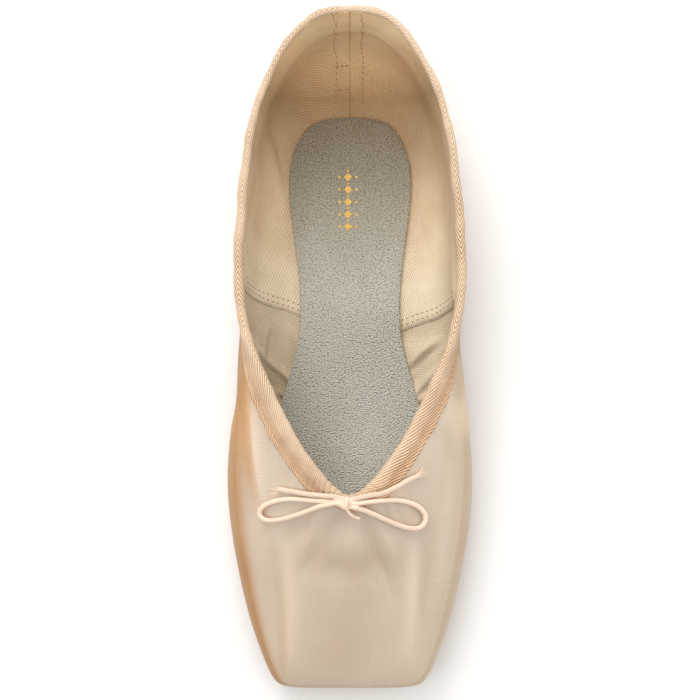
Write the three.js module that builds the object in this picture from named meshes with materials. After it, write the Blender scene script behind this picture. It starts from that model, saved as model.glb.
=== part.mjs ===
// A pointe shoe: a satin upper with a hard toe box and a flat platform, a narrow leather outsole,
// a suede-faced insole, a folded twill casing round the collar, and the drawstring's bow at the throat.
// Millimetres. +Z is up, the toe points along -Y, and the origin is on the floor under the shoe's middle.
// The last is straight: its two sides match.
import * as THREE from "three";

const GAP = 0.35; // clearance between pieces that lie on each other

// Leather outsole.
const OUTSOLE_THICK = 2.4;
const OUTSOLE_BEVEL = 0.8; // how far its bottom edge is skived in
const ARCH_RISE = 4.5; // the waist's lift off the floor
const ARCH_FRONT = -32;
const ARCH_BACK = 60;
const TOE_SPRING = 1.4; // the lift of the outsole's tip
const TOE_SPRING_START = -86;
const OUTSOLE_TIP = -104.5;

// Cloth and paste walls of the upper.
const BOX_WALL = 2.2; // the stiffened box
const QUARTER_WALL = 1.4; // satin and lining alone
const EDGE_WALL = 1.0; // at the collar, under the casing
const BOX_END = -38; // the box's wings thin out from here
const QUARTER_START = 6; // to here
const LASTING_MARGIN = 12; // how far the upper is turned in over the outsole
const CROWN = 0.025; // bulge between shoulder and collar, as a share of their distance

// Insole, with its board under a suede sock.
const INSOLE_THICK = 2.0;

// Casing: twill tape folded over the collar.
const CASING_THICK = 0.9;
const CASING_GAP = 0.5; // clearance between the tape and the collar that it wraps
const CASING_OUTSIDE = 7.5; // width of its outer leg
const CASING_INSIDE = 6; // width of its inner leg

// Drawstring.
const CORD_DIAMETER = 1.7;
const CORD_SIDES = 8;

// Named columns for a table of bare rows.
const table = (columns, rows) =>
  rows.map((row) =>
    Object.fromEntries(columns.split(" ").map((name, i) => [name, row[i]])),
  );

// The last, one row for each rib from the toe's centre round the right side to the heel's centre.
// sole: the outsole's edge. wide: the widest line of the wall. round: the radius of the bottom turn.
// top: the shoulder between wall and vamp. collar: the upper's cut edge.
const RIBS = table(
  "soleX soleY wideX wideY wideZ round topX topY topZ collarX collarY collarZ",
  [
    [0, -104.5, 0, -117.5, 13, 2.6, 0, -115.6, 26.6, 0, -50.3, 47.5],
    [8.5, -104.2, 12, -117.5, 13, 2.6, 11, -115.6, 26.5, 2.2, -49.9, 47.5],
    [14.5, -102.2, 21.8, -117.1, 13, 2.8, 19.8, -114.9, 26, 4.4, -48.4, 47.5],
    [18.2, -98.8, 26.9, -114.4, 13, 3.4, 23.4, -111, 26.2, 6.3, -46.8, 47.4],
    [20.4, -94, 30.7, -106.5, 13, 5.2, 24.6, -103, 27.8, 8.2, -45, 47.4],
    [22.6, -85.5, 34.6, -95.3, 13.5, 7.5, 25, -93, 30.4, 10.4, -42.6, 47.3],
    [24.6, -73, 38.3, -80.8, 14, 8, 26.4, -80, 33.4, 13.1, -39.3, 47.1],
    [25.8, -60, 41.2, -65, 14.5, 8.5, 28.6, -65.5, 35.9, 16.3, -34.8, 46.8],
    [25.8, -46, 42.9, -48.5, 15, 9, 31.2, -50, 37.6, 20.1, -28.8, 46.3],
    [22.6, -31, 42.2, -31.5, 16, 10.5, 33.6, -34, 38.3, 24.3, -21, 45.5],
    [18.4, -16, 40.2, -15, 18, 13, 35.6, -17.5, 37.8, 29, -11.4, 44.7],
    [15.6, 1, 38.6, 2, 20, 15, 37.2, 0.5, 36.2, 34.2, 0.5, 44],
    [15, 19, 37.4, 20, 21.5, 16, 37.4, 20, 34.5, 38.2, 17, 43.8],
    [16.6, 36, 37.2, 37.5, 22, 15, 38.2, 38, 35, 38.6, 36.5, 45],
    [19.2, 51, 36.2, 55, 22, 12, 36.6, 55.5, 36.5, 37.2, 55, 47.3],
    [20.2, 64, 33.8, 72, 21.5, 10, 34.2, 72.5, 38, 35, 72.8, 50],
    [18.4, 75.5, 29.6, 87, 21, 10.5, 30, 88, 39.5, 30.8, 88.6, 53],
    [14, 84.5, 22.6, 99.5, 20.5, 13.5, 22.8, 101, 40.5, 23.1, 103.8, 55.8],
    [7.4, 90.2, 12.6, 109.4, 20, 15, 12.5, 111.2, 41, 12.6, 114.8, 57.5],
    [0, 92.2, 0, 112.8, 20, 16, 0, 114.4, 41.2, 0, 117.1, 58],
  ],
);

// The insole's outline, from its toe end to its heel end.
const INSOLE = table("x y", [
  [0, -107.5],
  [11, -107],
  [19, -103.8],
  [23.6, -96],
  [26.6, -84],
  [28.6, -68],
  [29.2, -52],
  [28.8, -37],
  [25.9, -23],
  [22, -10],
  [18.8, 2],
  [17.5, 14],
  [18.3, 29],
  [20.4, 45],
  [21.6, 59],
  [20.2, 70],
  [15.2, 79.4],
  [8.2, 82.6],
  [0, 83.5],
]);

const mix = THREE.MathUtils.lerp;
const smooth = THREE.MathUtils.smoothstep;
const DIAGONAL = Math.SQRT1_2; // how far a round corner's middle reaches each way

// Height of the outsole's underside over the floor: flat at the heel and the ball, lifted at waist and tip.
function bottomHeight(y) {
  const middle = (ARCH_FRONT + ARCH_BACK) / 2;
  const arch = y < middle ? smooth(y, ARCH_FRONT, middle) : 1 - smooth(y, middle, ARCH_BACK);
  const spring = 1 - smooth(y, OUTSOLE_TIP, TOE_SPRING_START);
  return ARCH_RISE * arch + TOE_SPRING * spring;
}

// Wall thickness of the upper, from the stiff box in front to the soft quarters behind.
const wallAt = (y) => mix(BOX_WALL, QUARTER_WALL, smooth(y, BOX_END, QUARTER_START));

// A list of a half outline's points, from toe to heel, completed by its mirror image into a closed loop.
function closedLoop(half, mirrored) {
  const inner = half.slice(1, -1).reverse();
  return [...half, ...inner.map(mirrored)];
}

// The key points of one rib, from the turned-in margin, out to the wall and up to the collar.
const RIB_KEYS = 9;
function ribKeys(row, side) {
  const sole = new THREE.Vector2(side * row.soleX, row.soleY);
  const wide = new THREE.Vector2(side * row.wideX, row.wideY);
  const top = new THREE.Vector3(side * row.topX, row.topY, row.topZ);
  const collar = new THREE.Vector3(side * row.collarX, row.collarY, row.collarZ);
  const seat = (y) => bottomHeight(y) + OUTSOLE_THICK + GAP;
  const base = seat(row.soleY);
  const out = wide.clone().sub(sole).normalize();
  const at = (plan, z) => new THREE.Vector3(plan.x, plan.y, z);
  const inward = (from, by) => from.clone().addScaledVector(out, -by);
  const lowTurn = at(inward(wide, row.round * (1 - DIAGONAL)), mix(row.wideZ, base, DIAGONAL));
  const highTurn = at(wide.clone().lerp(new THREE.Vector2(top.x, top.y), 1 - DIAGONAL), 0);
  highTurn.z = mix(row.wideZ, row.topZ, DIAGONAL);
  const crest = top.clone().lerp(collar, 0.5);
  crest.z += CROWN * top.distanceTo(collar);
  const margin = inward(sole, LASTING_MARGIN);
  return [
    at(margin, seat(margin.y)),
    at(sole, base),
    at(inward(wide, row.round), base),
    lowTurn,
    at(wide, row.wideZ),
    highTurn,
    top,
    crest,
    collar,
  ];
}

const RIGHT = 1;
const LEFT = -1;
const NET = [
  ...RIBS.map((row) => ribKeys(row, RIGHT)),
  ...RIBS.slice(1, -1).reverse().map((row) => ribKeys(row, LEFT)),
];

// Control points of the closed cubic B-spline that passes through the given points.
function controlsOf(points) {
  const n = points.length;
  const rounds = 40;
  let controls = points.map((p) => p.clone());
  for (let round = 0; round < rounds; round++) {
    controls = controls.map((c, i) => {
      const reached = c
        .clone()
        .multiplyScalar(4)
        .add(controls[(i + n - 1) % n])
        .add(controls[(i + 1) % n])
        .divideScalar(6);
      return c.clone().add(points[i]).sub(reached);
    });
  }
  return controls;
}

// A point of that closed spline, where u counts the given points.
function onSpline(controls, u) {
  const n = controls.length;
  const i = Math.floor(u);
  const f = u - i;
  const weights = [
    (1 - f) ** 3,
    3 * f ** 3 - 6 * f ** 2 + 4,
    -3 * f ** 3 + 3 * f ** 2 + 3 * f + 1,
    f ** 3,
  ];
  const made = controls[0].clone().multiplyScalar(0);
  weights.forEach((w, k) => made.addScaledVector(controls[(i + k - 1 + 2 * n) % n], w / 6));
  return made;
}

const LINES = Array.from({ length: RIB_KEYS }, (_, k) => controlsOf(NET.map((rib) => rib[k])));

// The rib at any place u round the shoe, as one smooth curve from margin to collar.
const ribAt = (u) =>
  new THREE.CatmullRomCurve3(LINES.map((line) => onSpline(line, u)), false, "centripetal");

// The upper's outward normal at a place round the shoe and along its rib.
function normalAt(u, t) {
  const step = 0.02;
  const along = ribAt(u).getTangent(t);
  const around = ribAt(u + step).getPoint(t).sub(ribAt(u - step).getPoint(t));
  return around.cross(along).normalize();
}

// A closed mesh from rings of points, where each ring has the same number and the last ring meets the first.
function torusMesh(rings) {
  return gridMesh(rings, true, []);
}

// Faces between neighbouring rings, each ring itself closed, and any faces given by index.
function gridMesh(rings, ringsClose, extra) {
  const per = rings[0].length;
  const position = rings.flat().flatMap((p) => [p.x, p.y, p.z]);
  const index = [...extra];
  const last = ringsClose ? rings.length : rings.length - 1;
  for (let r = 0; r < last; r++) {
    const next = (r + 1) % rings.length;
    for (let i = 0; i < per; i++) {
      const j = (i + 1) % per;
      const [a, b, c, d] = [r * per + i, r * per + j, next * per + j, next * per + i];
      index.push(a, b, c, a, c, d);
    }
  }
  const geometry = new THREE.BufferGeometry();
  geometry.setAttribute("position", new THREE.Float32BufferAttribute(position, 3));
  geometry.setIndex(index);
  geometry.computeVertexNormals();
  return geometry;
}

// Wall thickness at a place on the upper; it thins out towards the collar.
const EDGE_ZONE = 0.8;
const wallHere = (y, t) => mix(wallAt(y), EDGE_WALL, smooth(t, EDGE_ZONE, 1));

// The upper: its outer face from margin to collar, then its inner face back down, as one closed wall.
const AROUND_PER_RIB = 2;
const AROUND = NET.length * AROUND_PER_RIB;
const STEPS_PER_KEY = [1, 1, 2, 2, 2, 2, 3, 3];
const places = STEPS_PER_KEY.flatMap((steps, key) =>
  Array.from({ length: steps }, (_, s) => (key + s / steps) / (RIB_KEYS - 1)),
).concat(1);

function upperGeometry() {
  const outer = [];
  const inner = [];
  for (const t of places) {
    const ringOut = [];
    const ringIn = [];
    for (let i = 0; i < AROUND; i++) {
      const u = i / AROUND_PER_RIB;
      const point = ribAt(u).getPoint(t);
      ringOut.push(point);
      ringIn.push(point.clone().addScaledVector(normalAt(u, t), -wallHere(point.y, t)));
    }
    outer.push(ringOut);
    inner.unshift(ringIn);
  }
  return torusMesh([...outer, ...inner]);
}

// The casing: a U of tape over the collar's edge, its legs lying on the upper's two faces.
function casingGeometry() {
  const outerSteps = [1, 0.7, 0.35, 0].map((share) => share * CASING_OUTSIDE);
  const innerSteps = [0, CASING_INSIDE];
  const sections = [];
  for (let i = 0; i < AROUND; i++) {
    const u = i / AROUND_PER_RIB;
    const rib = ribAt(u);
    const length = rib.getLength();
    const up = rib.getTangent(1);
    const placeBelow = (below) => rib.getUtoTmapping(1 - below / length);
    const near = (below, off) => {
      const t = placeBelow(below);
      return rib.getPoint(t).addScaledVector(normalAt(u, t), off);
    };
    const over = (rise, off) => near(0, off).addScaledVector(up, rise);
    const wallInside = (below) => wallHere(near(below, 0).y, placeBelow(below));
    const outFace = CASING_GAP + CASING_THICK;
    const middle = -EDGE_WALL / 2;
    const cornerOff = (outFace - middle) * DIAGONAL;
    sections.unshift([
      ...outerSteps.map((below) => near(below, outFace)),
      over(outFace * DIAGONAL, middle + cornerOff),
      over(outFace, middle),
      over(outFace * DIAGONAL, middle - cornerOff),
      ...innerSteps.map((below) => near(below, -wallInside(below) - outFace)),
      ...[...innerSteps].reverse().map((below) => near(below, -wallInside(below) - CASING_GAP)),
      over(CASING_GAP, middle),
      ...[...outerSteps].reverse().map((below) => near(below, CASING_GAP)),
    ]);
  }
  return torusMesh(sections);
}

// A plate with a given half outline: rings from its bottom face out round its edge to its top face.
function plateGeometry(half, layers) {
  const loop = closedLoop(
    half.map((p) => new THREE.Vector2(p.x, p.y)),
    (p) => new THREE.Vector2(-p.x, p.y),
  );
  const controls = controlsOf(loop);
  const perPoint = 2;
  const count = loop.length * perPoint;
  const tangentStep = 0.05;
  const rings = layers.map(({ inset, lift }) =>
    Array.from({ length: count }, (_, i) => {
      const u = i / perPoint;
      const point = onSpline(controls, u);
      const along = onSpline(controls, u + tangentStep).sub(onSpline(controls, u - tangentStep));
      const out = new THREE.Vector2(along.y, -along.x).normalize();
      const plan = point.clone().addScaledVector(out, -inset);
      if (i === 0 || i === count / 2) plan.x = 0;
      return new THREE.Vector3(plan.x, plan.y, lift(plan.y));
    }),
  );
  const top = (rings.length - 1) * count;
  const lids = [];
  for (let i = 0; i < count / 2; i++) {
    const left = (count - i) % count;
    const nextLeft = count - i - 1;
    const under = [left, nextLeft, i + 1, left, i + 1, i];
    const corners = under.map((k) => top + k).reverse();
    for (const triangle of [under.slice(0, 3), under.slice(3), corners.slice(0, 3), corners.slice(3)])
      if (new Set(triangle).size === 3) lids.push(...triangle);
  }
  return gridMesh(rings, false, lids);
}

function outsoleGeometry() {
  const bevelHeight = 0.9;
  const lift = (rise) => (y) => bottomHeight(y) + rise;
  return plateGeometry(
    RIBS.map((row) => ({ x: row.soleX, y: row.soleY })),
    [
      { inset: OUTSOLE_BEVEL, lift: lift(0) },
      { inset: 0, lift: lift(bevelHeight) },
      { inset: 0, lift: lift(OUTSOLE_THICK) },
    ],
  );
}

function insoleGeometry() {
  const seat = (y) => bottomHeight(y) + OUTSOLE_THICK + GAP + wallAt(y) + GAP;
  const edgeRound = 0.4;
  return plateGeometry(INSOLE, [
    { inset: 0, lift: seat },
    { inset: 0, lift: (y) => seat(y) + INSOLE_THICK - edgeRound },
    { inset: edgeRound, lift: (y) => seat(y) + INSOLE_THICK },
  ]);
}

// The drawstring's bow, tied over the throat and lying on the vamp.
const KNOT = { x: -0.2, y: -51.3, z: 50.6, length: 4.8, width: 4, height: 3.2 };
const ROUTES = {
  drawstring_loop_left: [
    [-2.9, -51.4, 49.8],
    [-6.5, -50.9, 49.3],
    [-11, -50.7, 48.3],
    [-16, -50.2, 46.3],
    [-21, -50.1, 44.4],
    [-26, -51, 42],
    [-29.6, -52.6, 40.1],
    [-31.1, -54.8, 38.6],
    [-30.3, -56.9, 38.5],
    [-27.4, -57.7, 39.9],
    [-22.6, -56.9, 42.3],
    [-16.5, -55.2, 44.8],
    [-10.8, -53.8, 47.5],
    [-6, -53.2, 48.9],
    [-2.9, -53.1, 49.4],
  ],
  drawstring_loop_right: [
    [2.6, -51.4, 49.8],
    [6, -50.9, 49.3],
    [10.5, -50.5, 48.4],
    [15.6, -50.4, 46.2],
    [20.2, -51.3, 44.2],
    [23.8, -53.1, 42.4],
    [25.9, -55.7, 41],
    [25.6, -58.6, 40.6],
    [23.4, -60.2, 41.2],
    [19.6, -60, 42.7],
    [14.8, -58.3, 44.4],
    [9.9, -56, 47.1],
    [5.6, -54, 48.5],
    [2.6, -53.1, 49.4],
  ],
  drawstring_end_left: [
    [-2.6, -49.7, 50.2],
    [-6, -49, 49.8],
    [-11, -48.6, 49],
    [-16, -48.1, 47.2],
    [-20.5, -47.4, 45],
    [-24.6, -46.8, 43.3],
  ],
  drawstring_end_right: [
    [2.3, -49.7, 50.2],
    [6, -48.8, 49.8],
    [11, -47.9, 49.1],
    [15.6, -46, 48.1],
    [20, -43.6, 46.2],
    [24.3, -41.6, 44.4],
  ],
};

function tubeGeometry(route) {
  const path = new THREE.CatmullRomCurve3(route.map((p) => new THREE.Vector3(...p)));
  const section = new THREE.Shape();
  section.absarc(0, 0, CORD_DIAMETER / 2, 0, 2 * Math.PI, false);
  const stepLength = 2 * CORD_DIAMETER;
  return new THREE.ExtrudeGeometry(section, {
    steps: Math.round(path.getLength() / stepLength),
    curveSegments: CORD_SIDES / 2,
    bevelEnabled: false,
    extrudePath: path,
  });
}

function knotGeometry() {
  const round = 10;
  return new THREE.SphereGeometry(0.5, round, round / 2)
    .scale(KNOT.length, KNOT.width, KNOT.height)
    .translate(KNOT.x, KNOT.y, KNOT.z);
}

const finish = (color, roughness) =>
  new THREE.MeshStandardMaterial({ color, roughness, metalness: 0 });
const satin = finish("#e3c6a9", 0.4);
const twill = finish("#e0c09a", 0.8);
const suede = finish("#b9b5a7", 0.95);
const leather = finish("#b98f63", 0.7);
const cord = finish("#f0d3b9", 0.8);

const shoe = new THREE.Group();
shoe.name = "pointe_shoe";

function add(name, geometry, material) {
  const mesh = new THREE.Mesh(geometry, material);
  mesh.name = name;
  shoe.add(mesh);
}

add("outsole", outsoleGeometry(), leather);
add("upper", upperGeometry(), satin);
add("insole", insoleGeometry(), suede);
add("casing", casingGeometry(), twill);
add("drawstring_knot", knotGeometry(), cord);
for (const [name, route] of Object.entries(ROUTES)) add(name, tubeGeometry(route), cord);

export default shoe;
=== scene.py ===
# %% [markdown]
# A pointe shoe is cloth and paste on a narrow leather sole. Satin covers a stiff box in front
# and soft quarters behind, a twill casing folds over the collar, and a thin drawstring runs in
# it and is tied at the throat. The solids that are loaded here fix every size. This script
# dresses them: each piece is shaped again with finer form, and gets a material of nodes.

# %% Load the solids
import math

import bpy
import numpy as np
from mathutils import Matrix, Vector


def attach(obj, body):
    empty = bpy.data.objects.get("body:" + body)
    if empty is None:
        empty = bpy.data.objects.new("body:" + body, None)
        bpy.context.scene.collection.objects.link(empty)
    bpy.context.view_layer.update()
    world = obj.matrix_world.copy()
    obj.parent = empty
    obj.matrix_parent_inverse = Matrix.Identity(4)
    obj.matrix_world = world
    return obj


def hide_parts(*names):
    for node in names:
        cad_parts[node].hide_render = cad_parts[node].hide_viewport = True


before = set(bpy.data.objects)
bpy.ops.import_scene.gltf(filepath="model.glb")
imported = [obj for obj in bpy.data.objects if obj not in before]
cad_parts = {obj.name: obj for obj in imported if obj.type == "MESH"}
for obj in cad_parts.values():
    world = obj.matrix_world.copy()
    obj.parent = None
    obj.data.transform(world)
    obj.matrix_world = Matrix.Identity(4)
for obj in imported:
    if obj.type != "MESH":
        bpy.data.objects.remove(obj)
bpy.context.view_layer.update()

MM = 0.001

# %% [markdown]
# The photograph looks straight down on the shoe from about 1.2 m. A long lens keeps the heel,
# which stands 58 mm high, from looking much wider than the sole. The width of the view at the
# floor and the distance give the lens: lens = sensor x distance / width.

# %% Camera
SHOT_HEIGHT = 1.2
SHOT_WIDTH = 0.2494  # of the floor, across the picture
SHOT_MIDDLE = 1.05 * MM  # along the shoe
SENSOR = 36  # mm

bpy.ops.object.select_all(action="DESELECT")
bpy.ops.object.camera_add(location=(0, SHOT_MIDDLE, SHOT_HEIGHT), rotation=(0, 0, 0))
camera = bpy.context.object
camera.name = "overhead_camera"
camera.data.sensor_width = SENSOR
camera.data.lens = SENSOR * SHOT_HEIGHT / SHOT_WIDTH
camera.data.clip_start = 0.01
bpy.context.scene.camera = camera
print("lens", round(camera.data.lens, 1), "mm")

# %% [markdown]
# A drawstring is soft cord. Its length is fixed, so its route comes before its looks: out of
# the knot, round the loop, back through the knot, and out to the bare tip. The points repeat
# those of the solids, in millimetres, and a smooth curve is drawn through them.

# %% Routes of the drawstring
LOOP_LEFT = [
    (-2.9, -51.1, 49.2), (-6.5, -50.7, 48.8), (-11, -50.5, 48.1), (-16, -50.2, 46.3),
    (-21, -50.1, 44.4), (-26, -51, 42), (-29.6, -52.6, 40.1), (-31.1, -54.8, 38.6),
    (-30.3, -56.9, 38.5), (-27.4, -57.7, 39.9), (-22.6, -56.9, 42.3), (-16.5, -54.9, 45.2),
    (-10.8, -52.6, 48.4), (-7.2, -51.7, 49.9), (-4.4, -51.3, 50.4),
]
END_LEFT = [
    (-2.6, -49.7, 50.2), (-6, -49, 49.8), (-11, -48.6, 49), (-16, -48.1, 47.2),
    (-20.5, -47.4, 45), (-24.6, -46.8, 43.3),
]
LOOP_RIGHT = [
    (2.6, -51.4, 49.8), (6, -50.9, 49.3), (10.5, -50.5, 48.4), (15.6, -50.4, 46.2),
    (20.2, -51.3, 44.2), (23.8, -53.1, 42.4), (25.9, -55.7, 41), (25.6, -58.6, 40.6),
    (23.4, -60.2, 41.2), (19.6, -60, 42.7), (14.8, -58.3, 44.4), (9.9, -56, 47.1),
    (5.6, -54, 48.5), (2.6, -53.1, 49.4),
]
END_RIGHT = [
    (2.3, -49.7, 50.2), (6, -48.8, 49.8), (11, -47.9, 49.1), (15.6, -46, 48.1),
    (20, -43.6, 46.2), (24.3, -41.6, 44.4),
]
KNOT = np.array([-1.2, -51.3, 50.4])


def smooth_route(points, step):
    """Places about step apart on the smooth curve through the points."""
    p = np.array(points, float)
    p = np.vstack([2 * p[0] - p[1], p, 2 * p[-1] - p[-2]])
    made = []
    for a, b, c, d in zip(p, p[1:], p[2:], p[3:]):
        count = max(2, round(np.linalg.norm(c - b) / step))
        for f in np.arange(count) / count:
            bent = f**2 * (a - 2.5 * b + 2 * c - 0.5 * d) + 0.5 * f**3 * (-a + 3 * b - 3 * c + d)
            made.append(b + 0.5 * f * (c - a) + bent)
    made.append(p[-2])
    return np.array(made)


def lengths_along(route):
    """How far along the route each of its places is."""
    return np.concatenate([[0], np.cumsum(np.linalg.norm(np.diff(route, axis=0), axis=1))])


THROUGH_LEFT = [(-0.9, -52.7, 50.1), (-0.1, -51.3, 50.7), (-0.9, -50.1, 50.6)]
THROUGH_RIGHT = [(0.9, -52.6, 49.5), (0.2, -51.3, 49.3), (0.9, -50.1, 50)]
CORD_STEP = 0.3
ROUTE_LEFT = smooth_route(LOOP_LEFT + THROUGH_LEFT + END_LEFT, CORD_STEP)
ROUTE_RIGHT = smooth_route(LOOP_RIGHT + THROUGH_RIGHT + END_RIGHT, CORD_STEP)
print("drawstring", [round(lengths_along(route)[-1], 1) for route in (ROUTE_LEFT, ROUTE_RIGHT)], "mm")

# %% [markdown]
# The light is a plain studio's: one broad soft box beyond the heel, which shines down into the
# shoe as far as the toes and leaves the heel in its own shade, and a wide dim one overhead, whose
# reflection greys the top of the satin. A pale room fills the rest. Satin shows its sheen only
# in broad lights, because a small lamp would give it hard sparks. A dim one on the right opens
# that side's shade, and a narrow strip on the left draws a streak along that shoulder.

# %% Floor and lights
bpy.ops.mesh.primitive_circle_add(vertices=96, radius=4, fill_type="NGON")
floor = bpy.context.object
floor.name = "floor"
bpy.ops.object.mode_set(mode="EDIT")
bpy.ops.mesh.inset(thickness=3)
bpy.ops.object.mode_set(mode="OBJECT")

scene = bpy.context.scene
scene.view_settings.view_transform = "Standard"
world = bpy.data.worlds.new("pale_room")
world.use_nodes = True
scene.world = world
sky = world.node_tree.nodes["Background"].inputs
sky["Color"].default_value = (1.0, 0.985, 0.96, 1)
sky["Strength"].default_value = 0.55


def soft_box(name, place, aim, width, height, power, color):
    """An area light at a place, turned to shine at another."""
    bpy.ops.object.light_add(type="AREA", location=place)
    lamp = bpy.context.object
    lamp.name = name
    lamp.data.shape = "RECTANGLE"
    lamp.data.size = width
    lamp.data.size_y = height
    lamp.data.energy = power
    lamp.data.color = color
    lamp.rotation_euler = (Vector(aim) - Vector(place)).to_track_quat("-Z", "Y").to_euler()


SHOE_MIDDLE = (0, 0, 0.03)
soft_box("heel_soft_box", (-0.3, 1.15, 0.95), SHOE_MIDDLE, 1.0, 0.8, 15, (1, 0.99, 0.97))
soft_box("overhead_soft_box", (-0.3, 0.05, 1.6), SHOE_MIDDLE, 1.3, 1.3, 11.5, (1, 1, 1))
soft_box("right_soft_box", (1.1, 0, 0.75), SHOE_MIDDLE, 0.8, 0.6, 4, (1, 0.99, 0.97))
soft_box("left_strip_box", (-1.0, -0.15, 0.64), (0, -0.03, 0.03), 0.7, 0.2, 1.1, (1, 0.98, 0.96))

# %% [markdown]
# A material is a small net of nodes. One helper adds a node with its settings, values and
# links, and another turns the colour that a designer writes, sRGB in hex, into the linear
# colour that the renderer counts with. Wear and shade are multiplied into a tone by Mix nodes.

# %% Helpers for materials
MULTIPLY = {"data_type": "RGBA", "blend_type": "MULTIPLY"}  # a Mix node's settings


def linear(code):
    """A colour such as #e3c6a9 as linear red, green, blue and alpha."""
    parts = [int(code[i : i + 2], 16) / 255 for i in (1, 3, 5)]
    return [p / 12.92 if p <= 0.04045 else ((p + 0.055) / 1.055) ** 2.4 for p in parts] + [1]


def fill(material, made, links=(), **values):
    """Gives a node's sockets their values and links. In a value's name _ stands for a space."""
    for name, value in values.items():
        made.inputs[name.replace("_", " ")].default_value = value
    for name, output in dict(links).items():
        material.node_tree.links.new(output, made.inputs[name])


def node(material, kind, links=(), settings=(), stops=(), **values):
    """Adds a node. A colour ramp's stops are places from 0 to 1 and their colours."""
    made = material.node_tree.nodes.new(kind)
    for name, value in dict(settings).items():
        setattr(made, name, value)
    if stops:
        elements = made.color_ramp.elements
        for element, (position, code) in zip((elements[0], elements[-1]), (stops[0], stops[-1])):
            element.position, element.color = position, linear(code)
        for position, code in stops[1:-1]:
            elements.new(position).color = linear(code)
    fill(material, made, links, **values)
    return made


def new_material(name):
    """An empty node material, and its shader."""
    made = bpy.data.materials.new(name)
    made.use_nodes = True
    return made, made.node_tree.nodes["Principled BSDF"]


def along_shoe(material, place, stops):
    """A tone that changes from toe to heel. Each stop is a y in millimetres and a colour."""
    low, high = stops[0][0], stops[-1][0]
    y = node(material, "ShaderNodeSeparateXYZ", {"Vector": place}).outputs["Y"]
    share = node(material, "ShaderNodeMapRange", {"Value": y}, From_Min=low * MM, From_Max=high * MM)
    shares = [((y - low) / (high - low), code) for y, code in stops]
    tones = node(material, "ShaderNodeValToRGB", {"Fac": share.outputs["Result"]}, stops=shares)
    return tones.outputs["Color"]


def band(width):
    """The Wave Texture's scale that repeats its bands after this width in metres."""
    return math.tau / 20 / width


# %% [markdown]
# A shoe is shaped over a last. Each row here is one rib of the last, from the toe's centre
# round the right side to the heel's centre, with the same sizes as the solids have. A smooth
# closed curve joins the ribs, and a smooth curve runs up each rib, so any place on the shoe is
# found from two numbers: round, how many ribs along it is, and up, from the margin at 0 to the
# collar's cut edge at 1.

# %% The last
GAP = 0.35
OUTSOLE_THICK = 2.4
LASTING_MARGIN = 12
CROWN = 0.025
BOX_WALL = 2.2
QUARTER_WALL = 1.4
EDGE_WALL = 1.0

# outsole's edge x, y | widest line x, y, z | bottom turn's radius | shoulder x, y, z | collar x, y, z
RIBS = [
    (0, -104.5, 0, -117.5, 13, 2.6, 0, -115.6, 26.6, 0, -50.3, 47.5),
    (8.5, -104.2, 12, -117.5, 13, 2.6, 11, -115.6, 26.5, 2.2, -49.9, 47.5),
    (14.5, -102.2, 21.8, -117.1, 13, 2.8, 19.8, -114.9, 26, 4.4, -48.4, 47.5),
    (18.2, -98.8, 26.9, -114.4, 13, 3.4, 23.4, -111, 26.2, 6.3, -46.8, 47.4),
    (20.4, -94, 30.7, -106.5, 13, 5.2, 24.6, -103, 27.8, 8.2, -45, 47.4),
    (22.6, -85.5, 34.6, -95.3, 13.5, 7.5, 25, -93, 30.4, 10.4, -42.6, 47.3),
    (24.6, -73, 38.3, -80.8, 14, 8, 26.4, -80, 33.4, 13.1, -39.3, 47.1),
    (25.8, -60, 41.2, -65, 14.5, 8.5, 28.6, -65.5, 35.9, 16.3, -34.8, 46.8),
    (25.8, -46, 42.9, -48.5, 15, 9, 31.2, -50, 37.6, 20.1, -28.8, 46.3),
    (22.6, -31, 42.2, -31.5, 16, 10.5, 33.6, -34, 38.3, 24.3, -21, 45.5),
    (18.4, -16, 40.2, -15, 18, 13, 35.6, -17.5, 37.8, 29, -11.4, 44.7),
    (15.6, 1, 38.6, 2, 20, 15, 37.2, 0.5, 36.2, 34.2, 0.5, 44),
    (15, 19, 37.4, 20, 21.5, 16, 37.4, 20, 34.5, 38.2, 17, 43.8),
    (16.6, 36, 37.2, 37.5, 22, 15, 38.2, 38, 35, 38.6, 36.5, 45),
    (19.2, 51, 36.2, 55, 22, 12, 36.6, 55.5, 36.5, 37.2, 55, 47.3),
    (20.2, 64, 33.8, 72, 21.5, 10, 34.2, 72.5, 38, 35, 72.8, 50),
    (18.4, 75.5, 29.6, 87, 21, 10.5, 30, 88, 39.5, 30.8, 88.6, 53),
    (14, 84.5, 22.6, 99.5, 20.5, 13.5, 22.8, 101, 40.5, 23.1, 103.8, 55.8),
    (7.4, 90.2, 12.6, 109.4, 20, 15, 12.5, 111.2, 41, 12.6, 114.8, 57.5),
    (0, 92.2, 0, 112.8, 20, 16, 0, 114.4, 41.2, 0, 117.1, 58),
]
HEEL = len(RIBS) - 1  # the rib at the heel's centre
ROUND = 2 * HEEL  # ribs in a whole turn


def smooth(x, low, high):
    """0 below low, 1 above high, and an even turn between them."""
    f = np.clip((np.asarray(x, float) - low) / (high - low), 0, 1)
    return f * f * (3 - 2 * f)


def bottom_height(y):
    """The outsole's lift off the floor: none at heel and ball, some at the waist and the tip."""
    arch = smooth(y, -32, 14) * (1 - smooth(y, 14, 60))
    return 4.5 * arch + 1.4 * (1 - smooth(y, -104.5, -86))


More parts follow.
